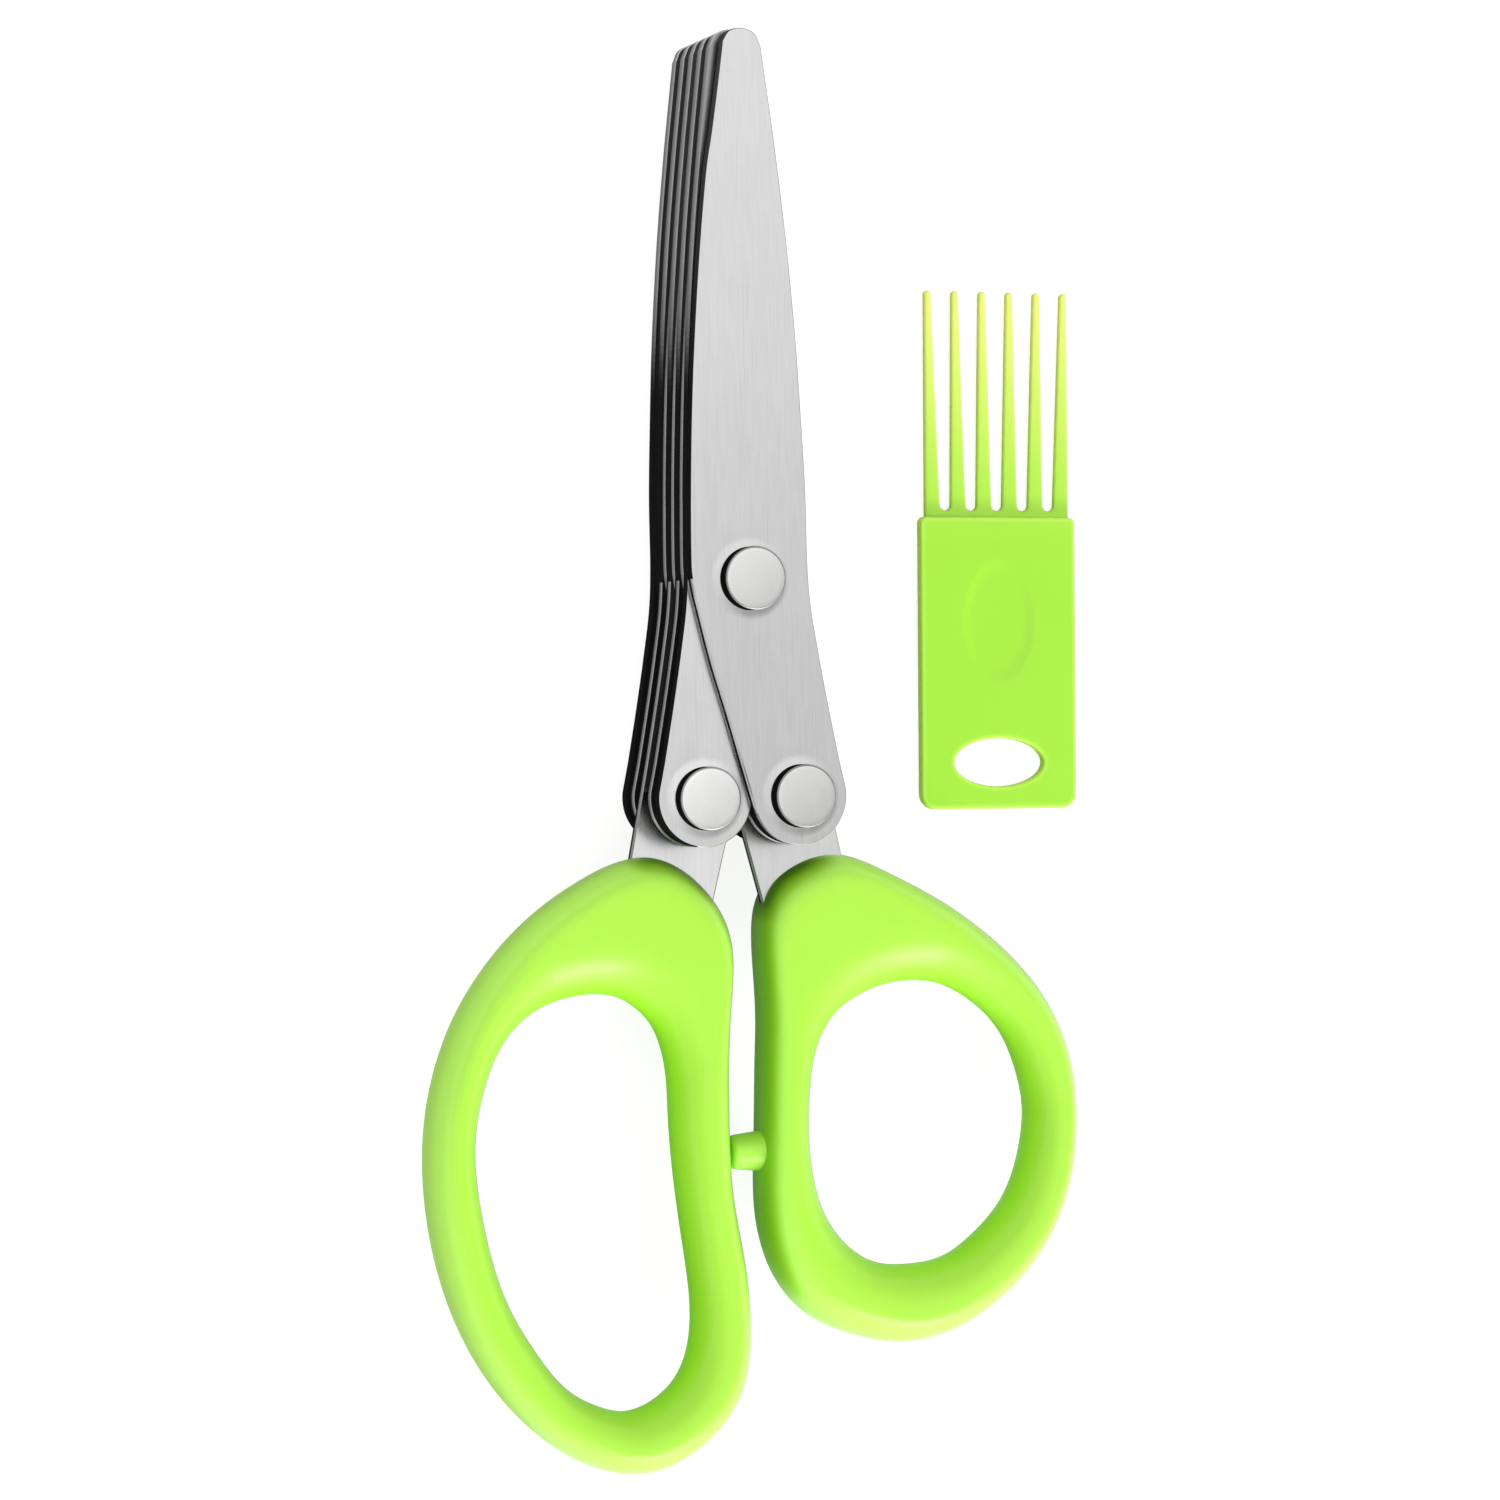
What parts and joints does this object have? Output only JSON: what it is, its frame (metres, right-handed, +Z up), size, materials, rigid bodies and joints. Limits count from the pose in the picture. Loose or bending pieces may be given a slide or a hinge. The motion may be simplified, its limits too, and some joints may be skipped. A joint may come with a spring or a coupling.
{
  "type": "herb scissors",
  "caption": "Stacked multi-blade herb scissors with two moulded ring handles on a riveted pivot, beside a flat toothed cleaning comb with a hanging hole.",
  "frame": {"origin": "on the table under the pivot, at the middle of the outer face of the pivot rivet's back cap", "axes": "+Z up along the pivot's axis and through the stack of blades, +Y along the closed blades to their tips, +X across the scissors to the side of the right handle and of the comb"},
  "size_m": [0.0978, 0.1901, 0.0229],
  "materials": {
    "blade_steel": "brushed along the blade, ground flat",
    "rivet_steel": "fine satin",
    "handle_plastic": "satin lime green moulding",
    "comb_plastic": "satin lime green moulding"
  },
  "bodies": {
    "right_half": {"right_blade_1": "blade_steel", "right_blade_2": "blade_steel", "right_tang_blade": "blade_steel", "right_blade_4": "blade_steel", "right_blade_5": "blade_steel", "right_spacer_1": "rivet_steel", "right_spacer_2": "rivet_steel", "right_spacer_3": "rivet_steel", "right_spacer_4": "rivet_steel", "right_rivet": "rivet_steel", "right_rivet_cap": "rivet_steel", "pivot_rivet": "rivet_steel", "pivot_rivet_cap": "rivet_steel", "right_handle": "handle_plastic"},
    "left_half": {"left_blade_1": "blade_steel", "left_blade_2": "blade_steel", "left_tang_blade": "blade_steel", "left_blade_4": "blade_steel", "left_blade_5": "blade_steel", "left_spacer_1": "rivet_steel", "left_spacer_2": "rivet_steel", "left_spacer_3": "rivet_steel", "left_spacer_4": "rivet_steel", "left_rivet": "rivet_steel", "left_rivet_cap": "rivet_steel", "left_handle": "handle_plastic"},
    "comb": {"cleaning_comb": "comb_plastic"}
  },
  "joints": [
    {"name": "pivot", "type": "hinge", "parent": "right_half", "child": "left_half", "pos_m": [0, 0, 0.0115], "axis": [0, 0, -1], "range_deg": [0, 55]},
    {"name": "comb_lift", "type": "slide", "parent": "right_half", "child": "comb", "axis": [0, 0, 1], "range_m": [0, 0.06]}
  ]
}
